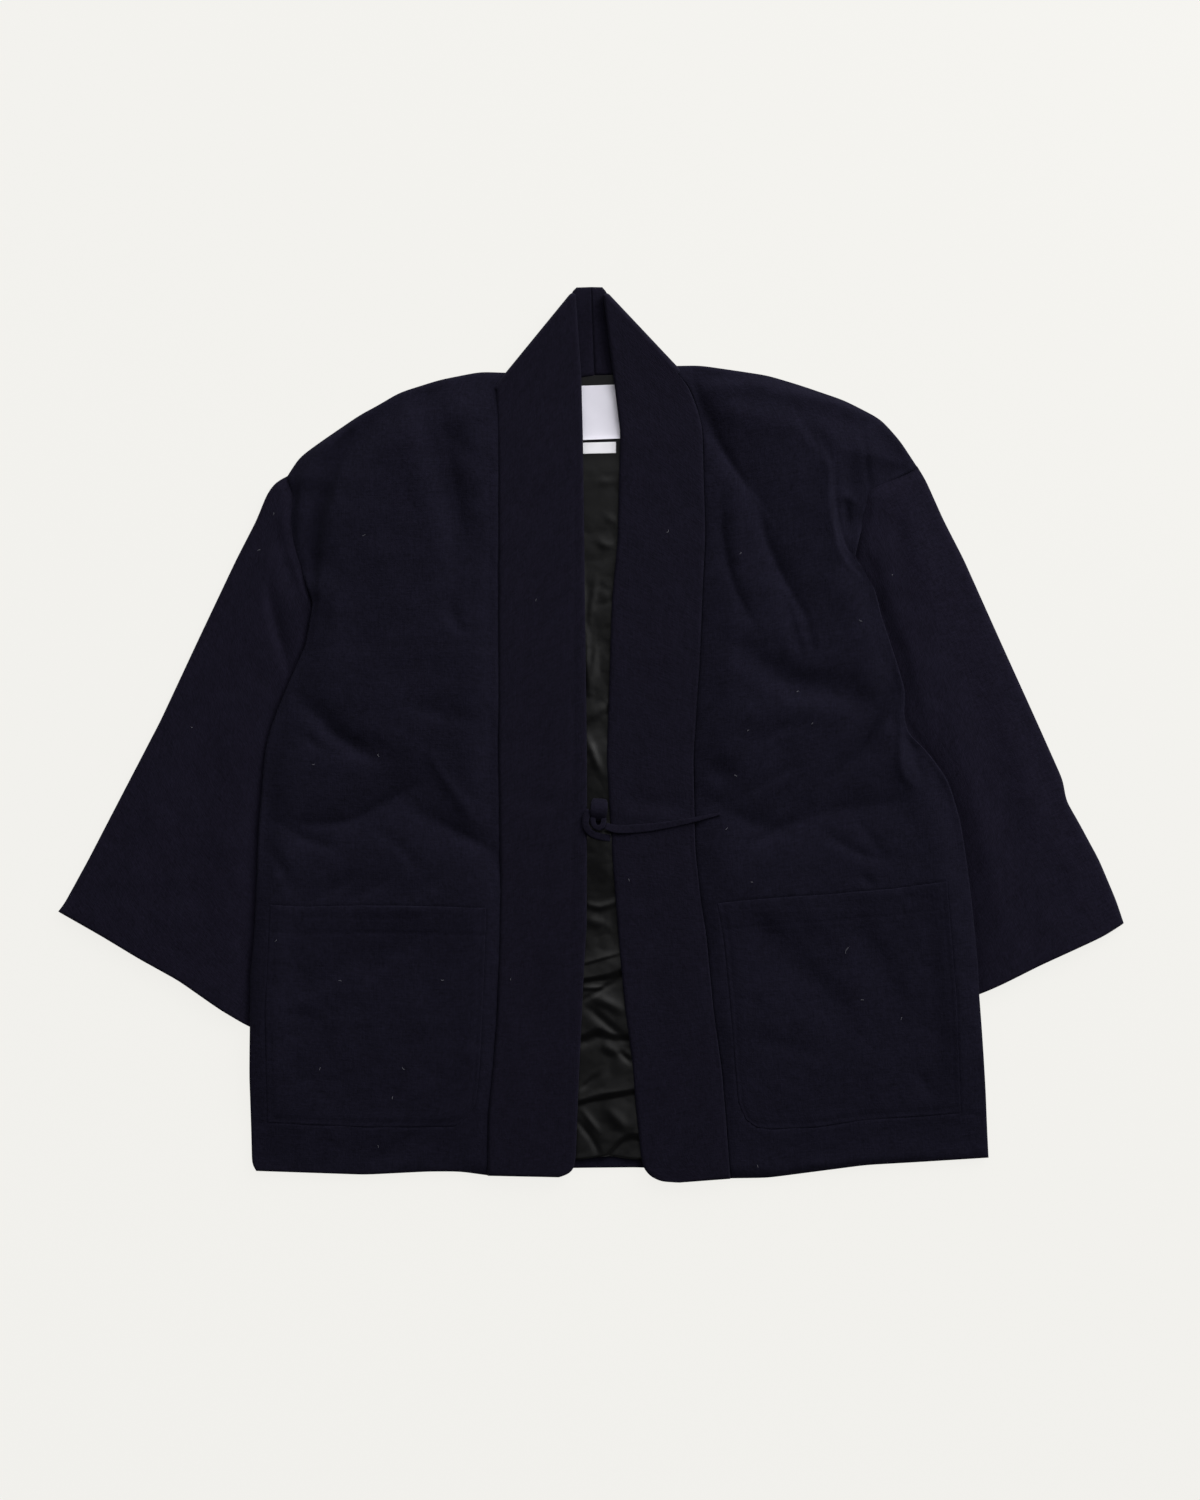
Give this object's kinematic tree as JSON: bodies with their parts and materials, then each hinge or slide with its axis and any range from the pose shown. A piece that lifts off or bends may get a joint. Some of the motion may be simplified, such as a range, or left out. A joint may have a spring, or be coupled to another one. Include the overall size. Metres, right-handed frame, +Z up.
{
  "type": "kimono jacket",
  "caption": "Short kimono jacket laid flat, with wide sleeves, a plain collar band from hem to hem, patch pockets, a satin lining and a waist tie.",
  "frame": {"origin": "centre of the garment's bounding box, on the surface it lies on", "axes": "+X towards the wearer's left sleeve, +Y from the hem to the collar, +Z up from the surface, out of the front of the jacket"},
  "size_m": [1, 0.84, 0.0154],
  "materials": {
    "wool": "very dark navy felted wool twill with a short matt nap",
    "satin": "black satin lining with a soft gloss",
    "label": "pale grey woven label, left blank"
  },
  "bodies": {
    "root": {"back": "wool", "front_right": "wool", "front_left": "wool", "sleeve_right": "wool", "sleeve_left": "wool", "band_right": "wool", "band_left": "wool", "pocket_right": "wool", "pocket_left": "wool", "lining_back": "satin", "label_main": "label", "label_origin": "label", "tie_right": "wool", "tie_left": "wool"}
  },
  "joints": []
}
